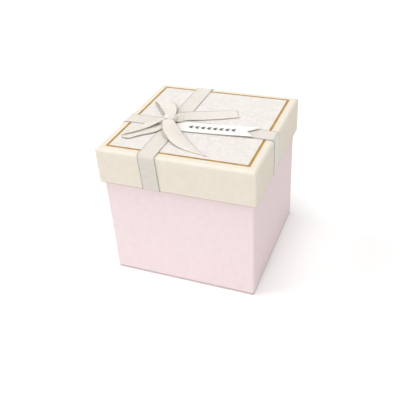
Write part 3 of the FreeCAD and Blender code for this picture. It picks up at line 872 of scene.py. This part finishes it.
@dataclass(frozen=True)
class SquareShell:
    """Paper cover lofted through rounded squares, with lapped edges beside its upright corners."""

    corner: float
    corner_steps: int = 5
    corner_wear: float = 0.5
    lap_in: float = 1.7
    lap_step: float = 0.1
    lap_ramp: float = 0.16
    even_reach: float = 0.92
    even_points: int = 17
    uneven: float = 0.05
    uneven_scale: float = 0.045

    def side_shares(self, half: float) -> list[float]:
        """Places of the points along a straight side, from -1 to 1.

        Args:
            half: Half width of the widest square.

        Returns:
            The places, with two at each lapped edge.
        """
        straight = half - self.corner
        lap = (half - self.lap_in) / straight
        inside = (half - self.lap_in - self.lap_ramp) / straight
        even = list(np.linspace(-self.even_reach, self.even_reach, self.even_points))
        return [-1.0, -lap, -inside] + even + [inside, lap, 1.0]

    def plan(self, ring: Ring, shares: Sequence[float], widest: float) -> list[Point]:
        """Points of one rounded square.

        Args:
            ring: The square.
            shares: Places along each side.
            widest: Half width of the widest square.

        Returns:
            X, Y and the tone value of each point: paler above 0 (scuffing, in places painted highlight),
                painted shade below 0.
        """
        points: list[Point] = []
        straight = ring.half - self.corner
        lapped_to = (widest - self.lap_in - self.lap_ramp / 2.0) / (widest - self.corner)
        tip_wear_and_painted_light = ring.wear_and_painted_light
        if ring.outer and ring.wear_and_painted_light >= 0.0:
            tip_wear_and_painted_light = max(ring.wear_and_painted_light, self.corner_wear)
        for quarter in range(4):
            turn = quarter * math.pi / 2.0
            for share in shares:
                lapped = ring.outer and quarter % 2 == 0 and abs(share) < lapped_to
                out = ring.half + (self.lap_step if lapped else 0.0)
                points.append((*turned(out, share * straight, turn), ring.wear_and_painted_light))
            for x, y in arc((straight, straight), self.corner, (0.0, 90.0), self.corner_steps + 1)[1:-1]:
                points.append((*turned(x, y, turn), tip_wear_and_painted_light))
        return points

    def build(self, name: str, skins: Sequence[Sequence[Ring]], material: Material, capped: bool) -> Piece:
        """Loft the cover.

        Args:
            name: Piece name.
            skins: The skin that shows, from the turned-in edge on, and the pasted skin back again.
            material: Finish.
            capped: Whether the skins are closed over the middle where one ends and the other starts.

        Returns:
            The object, with an attribute that makes folds paler above 0 (scuffing, in places painted
            highlight) and paints shade below 0.
        """
        rings = [ring for skin in skins for ring in skin]
        widest = max(ring.half for ring in rings)
        shares = self.side_shares(widest)
        points: list[Point] = []
        wear_and_painted_light: list[float] = []
        for ring in rings:
            for x, y, rub_and_light in self.plan(ring, shares, widest):
                lift = noise.noise(Vector((x, y, ring.height)) * self.uneven_scale) if ring.outer else 0.0
                grow = 1.0 + self.uneven * lift / widest
                points.append((x * grow * MM, y * grow * MM, ring.height * MM))
                wear_and_painted_light.append(rub_and_light)
        around = 4 * (len(shares) + self.corner_steps)
        faces: list[tuple[int, ...]] = []
        gap = len(skins[0]) - 1 if capped else -1
        for i in range(len(rings)):
            if i == gap:
                continue
            here, there = i * around, ((i + 1) % len(rings)) * around
            for j in range(around):
                k = (j + 1) % around
                faces.append((here + j, here + k, there + k, there + j))
        if capped:
            for number, flip in ((gap, False), (gap + 1, True)):
                points.append((0.0, 0.0, rings[number].height * MM))
                wear_and_painted_light.append(0.0)
                for j in range(around):
                    edge = (number * around + j, number * around + (j + 1) % around)
                    faces.append((*(reversed(edge) if flip else edge), len(points) - 1))
        piece = make_object(name, np.array(points), faces, material)
        layer = piece.data.attributes.new("wear_and_painted_light", "FLOAT", "POINT")
        layer.data.foreach_set("value", wear_and_painted_light)
        return piece


@dataclass
class LidCover:
    """Cream paper over the lid, rounded over the top edges and turned in at the lower edge."""

    finish: PaperFinish
    paper: float = 0.2
    inside: float = 62.92
    turn_in: float = 22.0
    corner: float = 1.4
    fold: float = 0.4
    fold_wear: float = 0.5
    # Painted shade along the lid's lower fold, standing in for the shadow under the lid's edge; it fades
    # out just above.
    painted_shade: float = -0.9
    painted_shade_fade: float = 0.5
    skirt_wear: float = 0.3
    top_round: float = 2.5
    # The lid's top edges turned paler: partly scuffing, partly painted highlight.
    top_rub_and_highlight: float = 0.35
    top_flat: float = 1.5
    cap: float = 40.0

    def outside_skin(self, outer: float, low: float, high: float) -> list[Ring]:
        """Rings of the skin that shows, from the turned-in edge to the middle of the top.

        Args:
            outer: Half width of the lid.
            low: Height of its lower edge.
            high: Height of its top.

        Returns:
            The rings in order.
        """
        fold = self.fold
        hem = low + fold
        brow = high - self.top_round
        flat = outer - self.top_round
        rings = [Ring(self.inside, low + self.turn_in)]
        rings += rise(self.inside, low + self.turn_in, hem, steps=6)
        rings += bend((self.inside + fold, hem), fold, (180.0, 270.0), steps=3, wear_and_painted_light=self.fold_wear)
        rings += bend((outer - fold, hem), fold, (270.0, 360.0), steps=4, wear_and_painted_light=self.painted_shade, outer=True)
        rings.append(Ring(outer, hem + self.painted_shade_fade, self.skirt_wear, outer=True))
        rings += rise(outer, hem, brow, steps=11, outer=True)
        rings += bend((flat, brow), self.top_round, (0.0, 90.0), steps=9, wear_and_painted_light=self.top_rub_and_highlight, outer=True)
        rings += [Ring(flat - self.top_flat, high), Ring(self.cap, high)]
        return rings

    def inside_skin(self, outer: float, low: float, high: float) -> list[Ring]:
        """Rings of the pasted skin, from the middle of the top back to the turned-in edge.

        Args:
            outer: Half width of the lid.
            low: Height of its lower edge.
            high: Height of its top.

        Returns:
            The rings in order.
        """
        skin = self.paper
        brow = high - self.top_round
        rings = [Ring(self.cap, high - skin)]
        rings += bend((outer - self.top_round, brow), self.top_round - skin, (90.0, 0.0), steps=6)
        rings += rise(outer - skin, brow, low + skin, steps=4)
        rings += [Ring(outer - skin, low + skin), Ring(self.inside + skin, low + skin)]
        rings.append(Ring(self.inside + skin, low + self.turn_in))
        return rings

    def build(self) -> Piece:
        """Build and settle the cover.

        Returns:
            The piece.
        """
        low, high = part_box("lid_wrap")
        lid = (high.x / MM, low.z / MM, high.z / MM)
        skins = (self.outside_skin(*lid), self.inside_skin(*lid))
        shell = SquareShell(self.corner)
        piece = shell.build("lid_cover_paper", skins, self.finish.build(), capped=True)
        return settle(piece, Body.LID, "lid_wrap")


@dataclass
class BaseCover:
    """Pink paper round the tray, turned in over the rim and turned under the bottom."""

    finish: PaperFinish
    paper: float = 0.2
    inside: float = 59.94
    turn_in: float = 18.0
    turn_under: float = 48.0
    corner: float = 1.1
    fold: float = 0.5
    fold_wear: float = 0.6
    rim_wear: float = 0.5
    # The wall just above the foot turned paler: partly scuffing, partly painted highlight.
    wall_rub_and_highlight: float = 0.3
    foot: float = 1.9
    # Painted shade round the foot, standing in for the contact shadow where the base meets the floor.
    painted_shade: float = -0.75
    painted_shade_fade: float = 0.6

    def build(self) -> Piece:
        """Build and settle the cover.

        Returns:
            The piece.
        """
        low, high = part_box("base_wrap")
        outer, floor, rim = high.x / MM, low.z / MM, high.z / MM
        skin, fold, foot = self.paper, self.fold, self.foot
        brim = rim - fold
        heel = floor + foot
        rings = [Ring(self.inside, rim - self.turn_in)]
        rings += rise(self.inside, rim - self.turn_in, brim, steps=4)
        rings += bend((self.inside + fold, brim), fold, (180.0, 90.0), steps=3, wear_and_painted_light=self.fold_wear)
        rings += bend((outer - fold, brim), fold, (90.0, 0.0), steps=4, wear_and_painted_light=self.rim_wear, outer=True)
        rings += rise(outer, brim, heel, steps=24, outer=True)
        rings.append(Ring(outer, heel + self.painted_shade_fade, self.wall_rub_and_highlight, outer=True))
        rings += bend((outer - foot, heel), foot, (0.0, -90.0), steps=6, wear_and_painted_light=self.painted_shade, outer=True)
        rings.append(Ring(self.turn_under, floor))
        back = [Ring(self.turn_under, floor + skin), Ring(outer - skin, floor + skin)]
        back += rise(outer - skin, floor + skin, rim - skin, steps=4)
        back += [Ring(outer - skin, rim - skin), Ring(self.inside + skin, rim - skin)]
        back.append(Ring(self.inside + skin, rim - self.turn_in))
        shell = SquareShell(self.corner)
        piece = shell.build("base_cover_paper", (rings, back), self.finish.build(), capped=False)
        return settle(piece, Body.BASE, "base_wrap")


@dataclass
class Strap:
    """Flat ribbon pulled over the lid, folded round its lower edges and stuck inside."""

    run: Run
    finish: Material
    seed: float
    web: RibbonWeb = RibbonWeb()
    inside: float = 62.72
    lay: float = 0.23
    tab: float = 11.5
    edge_round: float = 2.5
    under_round: float = 0.5
    crossing: float = -21.0
    crossing_reach: float = 8.2
    climb: float = 2.6
    climb_height: float = 0.45
    slack: float = 0.06
    slack_scale: float = 0.06
    wander: float = 0.18
    wander_scale: float = 0.03
    slant: float = 1.2
    tab_points: int = 8
    fold_steps: int = 5
    skirt_points: int = 18
    edge_steps: int = 11
    top_points: int = 90

    def half_path(self, out: float, low: float, high: float) -> list[Span]:
        """Way of the ribbon from its end inside the lid to the top edge, outwards positive.

        Args:
            out: Where the ribbon lies on the outside.
            low: Height where it passes under the lid.
            high: Height where it lies on the top.

        Returns:
            Outward distance and height of each point.
        """
        turn = self.under_round
        edge = self.edge_round + self.lay
        hem = low + turn
        path = [(self.inside, height) for height in np.linspace(low + self.tab, hem, self.tab_points)]
        path += arc((self.inside + turn, hem), turn, (180.0, 270.0), self.fold_steps)[1:]
        path += arc((out - turn, hem), turn, (270.0, 360.0), self.fold_steps)
        for height in np.linspace(hem, high - edge, self.skirt_points)[1:-1]:
            bulge = self.slack * math.sin(math.pi * (height - low) / (high - low))
            path.append((out + bulge, height))
        return path + arc((out - edge, high - edge), edge, (0.0, 90.0), self.edge_steps)

    def over(self, place: float) -> float:
        """Extra height where this ribbon climbs over the other one.

        Args:
            place: Place along the run.

        Returns:
            The height in millimetres.
        """
        if self.run is Run.FRONT_BACK:
            return 0.0
        away = abs(place - self.crossing)
        near = smooth_step(away, self.crossing_reach + self.climb, self.crossing_reach)
        return self.climb_height * float(near)

    def surface(self, middle_line: float) -> np.ndarray:
        """Middle surface of the ribbon.

        Args:
            middle_line: Place of its middle across the run.

        Returns:
            Points in millimetres, one row per step along the ribbon.
        """
        low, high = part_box("lid_wrap")
        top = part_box("lid_foil_border")[1].z / MM + self.lay
        half = self.half_path(high.x / MM + self.lay, low.z / MM - self.lay, top)
        reach, end = half[-1][0], half[0][1]
        path = [(-place, height) for place, height in half]
        for place in np.linspace(-reach, reach, self.top_points)[1:-1]:
            path.append((float(place), top + self.over(float(place))))
        path += half[::-1]
        shares = self.web.shares()
        grid = np.zeros((len(path), len(shares), 3))
        for i, (place, height) in enumerate(path):
            spot = (place * self.wander_scale, self.seed, height * self.wander_scale)
            shift = self.wander * noise.noise(Vector(spot))
            if self.run is Run.FRONT_BACK and place < 0.0:
                shift += self.slant * (top - height) / (top - end)
            for j, share in enumerate(shares):
                spot = (place * self.slack_scale, share, height * self.slack_scale)
                ripple = self.slack * max(0.0, noise.noise(Vector(spot)))
                side = middle_line + shift + share * self.web.width / 2.0
                grid[i, j] = (place, side, height + ripple)
        if self.run is Run.FRONT_BACK:
            grid = grid[:, ::-1, [1, 0, 2]]
        return grid

    def build(self) -> Piece:
        """Build and settle the ribbon.

        Returns:
            The piece.
        """
        node = f"ribbon_{self.run.value}"
        low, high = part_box(node)
        axis = 0 if self.run is Run.FRONT_BACK else 1
        surface = self.surface((low[axis] + high[axis]) / 2.0 / MM)
        return self.web.settle(f"strap_{self.run.value}", node, Slot.STRAP, self.finish, surface,
                               Held.STRETCHED, "lid_cover_paper")


@dataclass
class BowRibbon:
    """One free length of the bow's ribbon, drawn between its two edges.

    A station is a point on each edge: X and Y from the knot's middle, and the height over the floor.
    """

    name: str
    node: str
    held: Held
    stations: Sequence[Station]
    gathered_ends: tuple[bool, bool] = (True, False)
    rows: int = 90
    crown: float = 0.5
    pleat: float = 0.5
    pleat_reach: float = 9.0
    pleats: float = 2.5
    web: RibbonWeb = RibbonWeb()

    def surface(self, middle: Vector) -> np.ndarray:
        """Middle surface of the ribbon.

        Args:
            middle: Middle of the knot; the stations hold their own heights.

        Returns:
            Points in millimetres, one row per step along the ribbon.
        """
        edges = np.array(self.stations) + np.array((middle.x, middle.y, 0.0))
        chords = np.linalg.norm(np.diff(edges, axis=0), axis=2).mean(axis=1)
        knots = np.concatenate(((0.0,), np.cumsum(chords)))
        length = knots[-1]
        wanted = np.linspace(0.0, length, self.rows)
        drawn = natural_spline(knots, edges.reshape(len(edges), -1), wanted).reshape(self.rows, 2, 3)
        spread = self.web.shares()
        shares = ((spread + 1.0) / 2.0)[None, :, None]
        grid = drawn[:, :1] * (1.0 - shares) + drawn[:, 1:] * shares
        swell = self.crown * (1.0 - spread ** 2) * np.sin(math.pi * wanted / length)[:, None] ** 2
        fade = np.zeros(self.rows)
        for gathered, away in zip(self.gathered_ends, (wanted, length - wanted)):
            if gathered:
                fade += np.exp(-away / self.pleat_reach)
        folds = self.pleat * fade[:, None] * np.cos(math.pi * self.pleats * spread)
        return grid + surface_normals(grid) * (swell + folds)[..., None]

    def build(self, middle: Vector, material: Material) -> Piece:
        """Build and settle the ribbon."""
        return self.web.settle(self.name, self.node, Slot.BOW, material, self.surface(middle),
                               self.held, "strap_left_right")


@dataclass
class Bow:
    """Ribbon bow on the crossing: two loops, two tails and the knot that gathers them."""

    finish: RibbonFinish
    web: RibbonWeb = RibbonWeb()
    knot_half: float = 5.9
    knot_rise: float = 2.9
    knot_square: Span = (0.85, 0.8)
    knot_width: float = 4.9
    knot_pinch: float = 0.2
    knot_tuck: float = 0.55
    knot_pleat: float = 0.06
    knot_pleats: float = 3.5
    knot_twist: float = 0.6
    knot_turn: float = -9.0
    knot_rows: int = 72

    def left_loop(self) -> BowRibbon:
        """Loop to the front left: open along its front edge, shut along its back edge.

        Returns:
            The ribbon.
        """
        return BowRibbon("bow_left_loop", "bow_loop_left", Held.FOLDED, (
            ((0.5, -4.0, 125.0), (-1.0, 2.0, 124.6)),
            ((-4.0, -6.8, 124.9), (-6.4, -3.4, 124.2)),
            ((-8.6, -11.1, 123.4), (-12.0, -5.9, 122.8)),
            ((-14.2, -17.9, 122.2), (-19.8, -9.2, 121.3)),
            ((-19.5, -23.9, 122.1), (-23.7, -14.6, 121.15)),
            ((-24.9, -29.4, 122.2), (-26.4, -20.7, 121.15)),
            ((-28.1, -34.2, 121.9), (-27.9, -25.1, 121.05)),
            ((-23.2, -35.2, 121.0), (-26.2, -21.4, 120.75)),
            ((-17.6, -30.6, 121.0), (-22.7, -16.9, 120.75)),
            ((-11.4, -24.9, 121.1), (-17.2, -11.8, 120.95)),
            ((-5.6, -20.0, 121.3), (-10.9, -7.2, 121.5)),
            ((-2.3, -14.8, 121.8), (-5.6, -3.6, 122.1)),
            ((1.5, -5.0, 123.2), (0.0, 2.0, 122.8)),
        ), rows=130, crown=0.3, pleat=0.9, pleat_reach=16.0, pleats=3.5, gathered_ends=(True, True))

    def back_loop(self) -> BowRibbon:
        """Loop to the back left: a low mouth along its left edge.

        Returns:
            The ribbon.
        """
        return BowRibbon("bow_back_loop", "bow_loop_back", Held.FOLDED, (
            ((2.0, 2.5, 124.8), (-1.5, -1.0, 125.0)),
            ((0.8, 9.2, 124.4), (-5.5, 2.4, 125.3)),
            ((-1.4, 15.9, 123.8), (-11.6, 10.2, 124.6)),
            ((-4.8, 23.8, 123.3), (-17.8, 17.9, 124.0)),
            ((-11.4, 31.8, 123.0), (-24.5, 26.1, 123.7)),
            ((-16.2, 36.2, 122.4), (-28.3, 29.8, 122.4)),
            ((-12.6, 32.2, 121.2), (-23.8, 23.4, 121.4)),
            ((-5.8, 24.4, 121.0), (-17.6, 15.9, 121.2)),
            ((-0.6, 15.8, 121.2), (-10.4, 8.0, 121.8)),
            ((1.2, 8.4, 122.0), (-5.5, 2.6, 122.4)),
            ((2.0, 2.5, 122.8), (-1.5, -1.0, 122.9)),
        ), rows=130, crown=0.3, pleat=0.3, gathered_ends=(True, True))

    def right_tail(self) -> BowRibbon:
        """Short tail to the right with a square cut.

        Returns:
            The ribbon.
        """
        return BowRibbon("bow_right_tail", "bow_tail_right", Held.LAID, (
            ((0.0, 2.5, 125.0), (1.0, -2.0, 124.4)),
            ((2.6, 7.4, 125.4), (6.2, -2.0, 122.9)),
            ((7.4, 16.8, 123.3), (11.7, 4.8, 121.5)),
            ((15.7, 23.2, 121.7), (20.8, 9.0, 120.95)),
            ((25.2, 27.7, 121.0), (30.7, 12.9, 120.75)),
            ((35.3, 31.4, 120.8), (40.6, 17.0, 120.75)),
            ((45.7, 35.0, 120.6), (51.3, 22.6, 120.55)),
        ), rows=80, pleat=0.25)

    def front_tail(self) -> BowRibbon:
        """Long tail to the front with a slanted cut.

        Returns:
            The ribbon.
        """
        return BowRibbon("bow_front_tail", "bow_tail_front", Held.LAID, (
            ((-2.0, -2.5, 125.2), (2.5, -2.0, 125.2)),
            ((-3.4, -6.8, 126.0), (6.0, -6.6, 125.9)),
            ((-0.8, -16.6, 126.5), (13.2, -13.5, 123.6)),
            ((3.2, -24.0, 125.6), (19.9, -20.1, 122.0)),
            ((9.4, -29.9, 123.3), (28.8, -29.2, 121.4)),
            ((16.4, -35.1, 121.6), (38.0, -37.6, 120.95)),
            ((26.4, -39.7, 120.8), (48.1, -44.6, 120.65)),
        ), rows=100, crown=0.6, pleat=0.35, pleats=1.5)

    def knot_surface(self, middle: Vector) -> np.ndarray:
        """Middle surface of the wrapped knot.

        Args:
            middle: Middle of the knot.

        Returns:
            Points in millimetres round the wrap.
        """
        share = self.web.shares()[None, :]
        angle = np.linspace(0.0, 2.0 * math.pi, self.knot_rows, endpoint=False)[:, None]
        out, up = np.cos(angle), np.sin(angle)
        waves = np.cos(math.pi * self.knot_pleats * share + self.knot_twist * out)
        fold = (1.0 - self.knot_tuck * np.abs(share) ** 3) * (1.0 + self.knot_pleat * waves)
        x = np.copysign(np.abs(out) ** self.knot_square[0], out) * self.knot_half * fold
        y = share * self.knot_width * (1.0 - self.knot_pinch + self.knot_pinch * up * up)
        z = np.copysign(np.abs(up) ** self.knot_square[1], up) * self.knot_rise * fold
        east, north = turned(x, y, math.radians(self.knot_turn))
        return np.stack((middle.x + east, middle.y + north, middle.z + z), axis=2)

    def build(self) -> None:
        """Build and settle every ribbon of the bow and its knot."""
        middle = knot_middle()
        material = self.finish.build()
        for ribbon in (self.left_loop(), self.back_loop(), self.right_tail(), self.front_tail()):
            ribbon.build(middle, material)
        self.web.settle("bow_wrapped_knot", "bow_knot", Slot.BOW, material, self.knot_surface(middle),
                        Held.GATHERED, "strap_left_right", ring=True)


@dataclass
class Tag:
    """Card tag with a swallow-tail end, tucked under the knot and lifting a little at its end."""

    finish: TagFinish
    length: float = 68.6
    width: float = 16.0
    half_thick: float = 0.16
    notch: float = 8.4
    skew: float = 1.9
    turn: float = 4.5
    start: Span = (5.5, -5.8)
    clearance: float = 0.05
    lift: float = 0.9
    lift_from: float = 0.3
    rows: int = 70
    columns: int = 25

    def build(self) -> Piece:
        """Build and settle the tag.

        Returns:
            The piece.
        """
        middle = knot_middle()
        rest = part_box("ribbon_left_right")[1].z / MM + self.clearance + self.half_thick
        share = np.linspace(-1.0, 1.0, self.columns)[None, :]
        step = np.linspace(0.0, 1.0, self.rows)[:, None]
        along = step * (self.length + self.skew * share - self.notch * (1.0 - np.abs(share)))
        across = np.repeat(share * self.width / 2.0, self.rows, axis=0)
        far = np.maximum(0.0, along / self.length - self.lift_from) / (1.0 - self.lift_from)
        x, y = turned(along, across, math.radians(self.turn))
        z = rest + self.lift * far ** 2
        grid = np.stack((middle.x + self.start[0] + x, middle.y + self.start[1] + y, z), axis=2)
        thick = np.full(across.shape, self.half_thick)
        sheet = SheetGrid(grid * MM, thick * MM, along * MM, across * MM)
        piece = sheet.build("paper_tag", self.finish.build())
        return settle(piece, Body.LID, "gift_tag")


@dataclass
class KeptSolids:
    """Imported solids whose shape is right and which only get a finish."""

    palette: Palette

    def build(self) -> None:
        """Put a finish on each kept solid."""
        chosen = self.palette
        lined = ("base_wall_liner", "base_floor_liner", "base_bottom_sheet", "lid_top_liner")
        dressed: tuple[tuple[Finish, tuple[str, ...]], ...] = (
            (chosen.board, ("base_board", "lid_board")),
            (chosen.tape, ("base_corner_stays", "lid_corner_stays")),
            (chosen.lining, lined),
            (chosen.panel, ("lid_panel_sheet",)),
            (chosen.foil, ("lid_foil_border",)),
            (chosen.glue, ("bow_glue_pad",)),
        )
        for finish, nodes in dressed:
            material = finish.build()
            for node in nodes:
                slots = bpy.data.objects[node].data.materials
                slots.clear()
                slots.append(material)
                LOG.info("%s: finish %s", node, material.name)


@dataclass(frozen=True)
class Lamp:
    """One soft light, far away."""

    name: str
    comes_from: Point
    strength: float
    softness: float
    colour: Colour = tone(255, 255, 255)

    def build(self) -> None:
        """Hang the light."""
        light = bpy.data.lights.new(self.name, "SUN")
        light.energy = self.strength
        light.color = self.colour[:3]
        light.angle = math.radians(self.softness)
        lamp = bpy.data.objects.new(self.name, light)
        lamp.rotation_mode = "QUATERNION"
        lamp.rotation_quaternion = Vector(self.comes_from).to_track_quat("Z", "Y")
        bpy.context.scene.collection.objects.link(lamp)


@dataclass
class Studio:
    """Pale floor, soft light and the camera at the photograph's angle."""

    floor: FloorFinish
    floor_half: float = 6.0
    floor_drop: float = 0.02 * MM
    sky: float = 0.15
    seen_sky: float = 1.0
    lamps: tuple[Lamp, ...] = (
        Lamp("overhead", (0.0, 0.0, 1.0), 1.32, 40.0),
        Lamp("overhead_front", (-0.1, -0.35, 1.0), 0.55, 40.0),
        Lamp("front_fill", (0.15, -1.0, 0.66), 0.744, 40.0),
        Lamp("right_fill", (1.0, -0.3, 0.4), 0.55, 40.0, tone(255, 251, 244)),
        Lamp("left_window", (-1.0, -0.2, 0.6), 1.55, 50.0),
        Lamp("back_fill", (-0.35, 1.0, 0.4), 0.4, 60.0),
    )
    camera_at: Point = (161.98, -394.01, 331.89)
    azimuth: float = 23.18
    elevation: float = 34.18
    roll: float = 3.72
    lens: float = 51.72
    sensor: float = 36.0
    clip: Span = (0.01, 50.0)

    def build_floor(self) -> None:
        """Lay the floor."""
        plan = ((-1.0, -1.0), (1.0, -1.0), (1.0, 1.0), (-1.0, 1.0))
        corners = np.array([(x * self.floor_half, y * self.floor_half, -self.floor_drop) for x, y in plan])
        make_object("studio_floor", corners, [range(len(plan))], self.floor.build())

    def build_sky(self) -> None:
        """Light from all round, plain white where it is seen or mirrored."""
        world = bpy.data.worlds.new("studio_sky")
        world.use_nodes = True
        bpy.context.scene.world = world
        tree = world.node_tree
        shade = tree.nodes["Background"]
        shade.inputs["Color"].default_value = tone(255, 255, 255)
        path = tree.nodes.new("ShaderNodeLightPath")
        seen = path.outputs["Is Camera Ray"]
        for ray in ("Is Glossy Ray", "Is Transmission Ray"):
            either = tree.nodes.new("ShaderNodeMath")
            either.operation = "MAXIMUM"
            tree.links.new(seen, either.inputs[0])
            tree.links.new(path.outputs[ray], either.inputs[1])
            seen = either.outputs[0]
        strength = tree.nodes.new("ShaderNodeMapRange")
        strength.inputs["To Min"].default_value = self.sky
        strength.inputs["To Max"].default_value = self.seen_sky
        tree.links.new(seen, strength.inputs["Value"])
        tree.links.new(strength.outputs["Result"], shade.inputs["Strength"])

    def build_camera(self) -> None:
        """Set up the camera."""
        lens = bpy.data.cameras.new("photo_camera")
        lens.lens = self.lens
        lens.sensor_width = self.sensor
        lens.clip_start, lens.clip_end = self.clip
        camera = bpy.data.objects.new("photo_camera", lens)
        camera.location = Vector(self.camera_at) * MM
        turn, tip = math.radians(self.azimuth), math.radians(self.elevation)
        ahead = Vector((*turned(0.0, math.cos(tip), turn), -math.sin(tip)))
        level = ahead.to_track_quat("-Z", "Y")
        camera.rotation_mode = "QUATERNION"
        camera.rotation_quaternion = Quaternion(ahead, math.radians(self.roll)) @ level
        bpy.context.scene.collection.objects.link(camera)
        bpy.context.scene.camera = camera

    def build(self) -> None:
        """Build floor, light and camera."""
        self.build_floor()
        self.build_sky()
        for lamp in self.lamps:
            lamp.build()
        self.build_camera()
        bpy.context.scene.view_settings.view_transform = "Standard"


def main() -> None:
    """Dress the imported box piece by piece."""
    logging.basicConfig(level=logging.INFO, format="%(name)s %(message)s")
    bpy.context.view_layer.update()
    palette = Palette()
    KeptSolids(palette).build()
    BaseCover(palette.pink).build()
    LidCover(palette.cream).build()
    strap = palette.strap.build()
    Strap(Run.FRONT_BACK, strap, seed=2.0).build()
    Strap(Run.LEFT_RIGHT, strap, seed=7.0).build()
    Bow(palette.bow).build()
    Tag(palette.tag).build()
    Studio(palette.floor).build()


if __name__ == "__main__":
    main()
